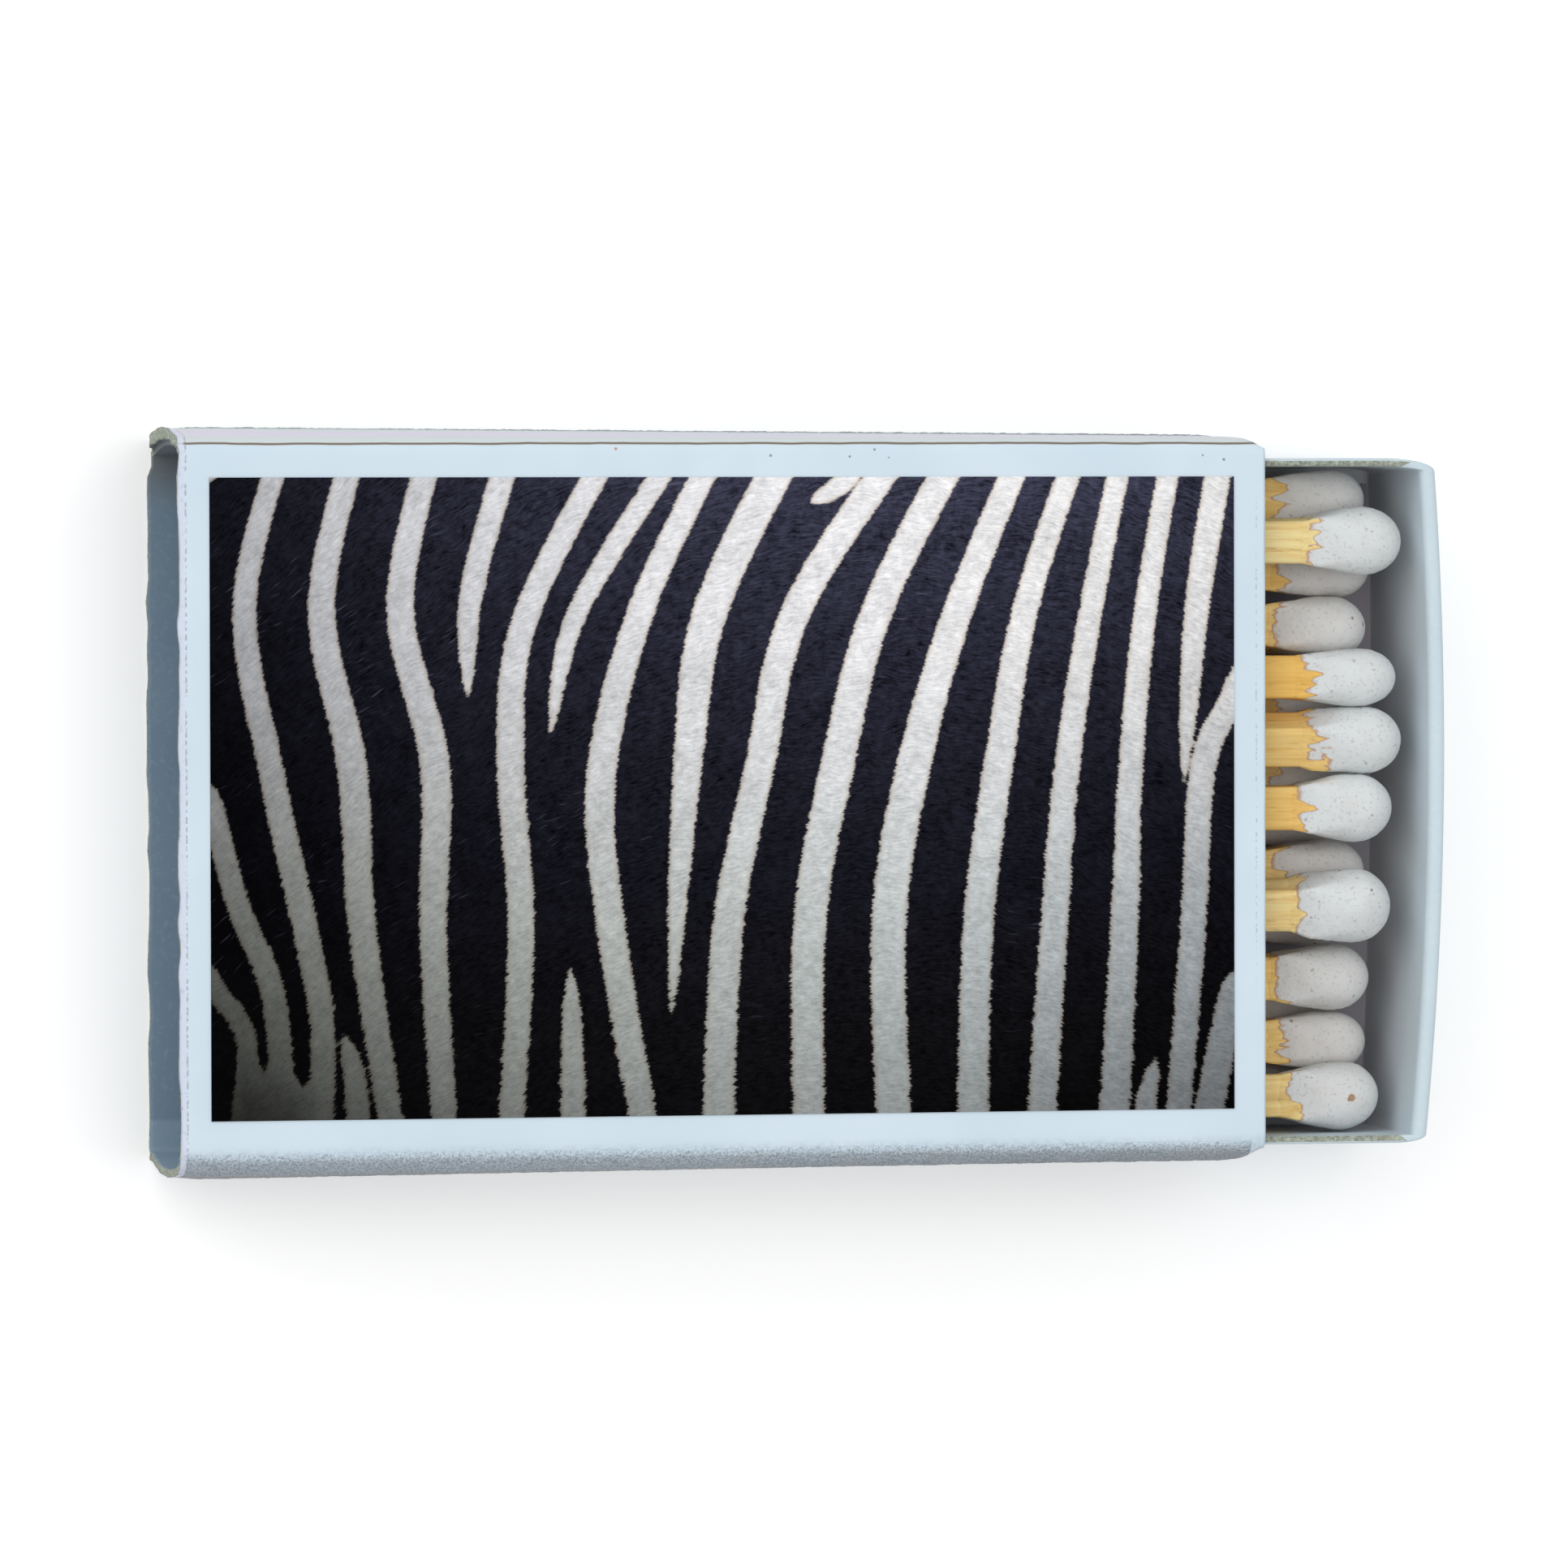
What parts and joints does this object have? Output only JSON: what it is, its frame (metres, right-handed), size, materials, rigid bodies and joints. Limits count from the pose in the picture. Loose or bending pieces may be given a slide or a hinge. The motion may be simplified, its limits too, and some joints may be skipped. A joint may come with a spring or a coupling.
{
  "type": "matchbox",
  "caption": "Pocket matchbox: a folded card sleeve with striking strips and a striped face, and a sliding card tray of wooden matches, partly pushed out.",
  "frame": {"origin": "centre of the sleeve's plain back face, which lies on the table", "axes": "+X along the sleeve towards the open end of the tray, +Y across the sleeve, +Z out of the printed face"},
  "size_m": [0.0637, 0.037, 0.0121],
  "materials": {
    "sleeve_card": "smooth coated card, pale icy white outside, grey-blue inside",
    "tray_card": "uncoated pale grey-green card with speckled raw edges",
    "striking_coat": "fine gritty silver-grey striking coat",
    "print_light": "light stripes of the print, satin ink",
    "print_dark": "near-black ink of the print, satin",
    "splint_wood": "split aspen, golden yellow, straight grain",
    "head_white": "matt dried match composition, off-white with fine specks"
  },
  "bodies": {
    "sleeve": {"sleeve": "sleeve_card", "striker_lower": "striking_coat", "striker_upper": "striking_coat", "print_panel": "print_light", "ink_field_01": "print_dark", "ink_field_02": "print_dark", "ink_field_03": "print_dark", "ink_field_04": "print_dark", "ink_field_05": "print_dark", "ink_field_06": "print_dark", "ink_field_07": "print_dark", "ink_field_08": "print_dark", "ink_field_09": "print_dark", "ink_field_10": "print_dark", "ink_field_11": "print_dark", "ink_field_12": "print_dark", "ink_field_13": "print_dark", "ink_field_14": "print_dark", "ink_field_15": "print_dark"},
    "tray": {"tray": "tray_card", "match_stick_01": "splint_wood", "match_head_01": "head_white", "match_stick_02": "splint_wood", "match_head_02": "head_white", "match_stick_03": "splint_wood", "match_head_03": "head_white", "match_stick_04": "splint_wood", "match_head_04": "head_white", "match_stick_05": "splint_wood", "match_head_05": "head_white", "match_stick_06": "splint_wood", "match_head_06": "head_white", "match_stick_07": "splint_wood", "match_head_07": "head_white", "match_stick_08": "splint_wood", "match_head_08": "head_white", "match_stick_09": "splint_wood", "match_head_09": "head_white", "match_stick_10": "splint_wood", "match_head_10": "head_white", "match_stick_11": "splint_wood", "match_head_11": "head_white", "match_stick_12": "splint_wood", "match_head_12": "head_white", "match_stick_13": "splint_wood", "match_head_13": "head_white", "match_stick_14": "splint_wood", "match_head_14": "head_white", "match_stick_15": "splint_wood", "match_head_15": "head_white", "match_stick_16": "splint_wood", "match_head_16": "head_white", "match_stick_17": "splint_wood", "match_head_17": "head_white", "match_stick_18": "splint_wood", "match_head_18": "head_white", "match_stick_19": "splint_wood", "match_head_19": "head_white", "match_stick_20": "splint_wood", "match_head_20": "head_white"}
  },
  "joints": [
    {"name": "tray_slide", "type": "slide", "parent": "sleeve", "child": "tray", "axis": [1, 0, 0], "range_m": [-0.0495, 0.032]}
  ]
}
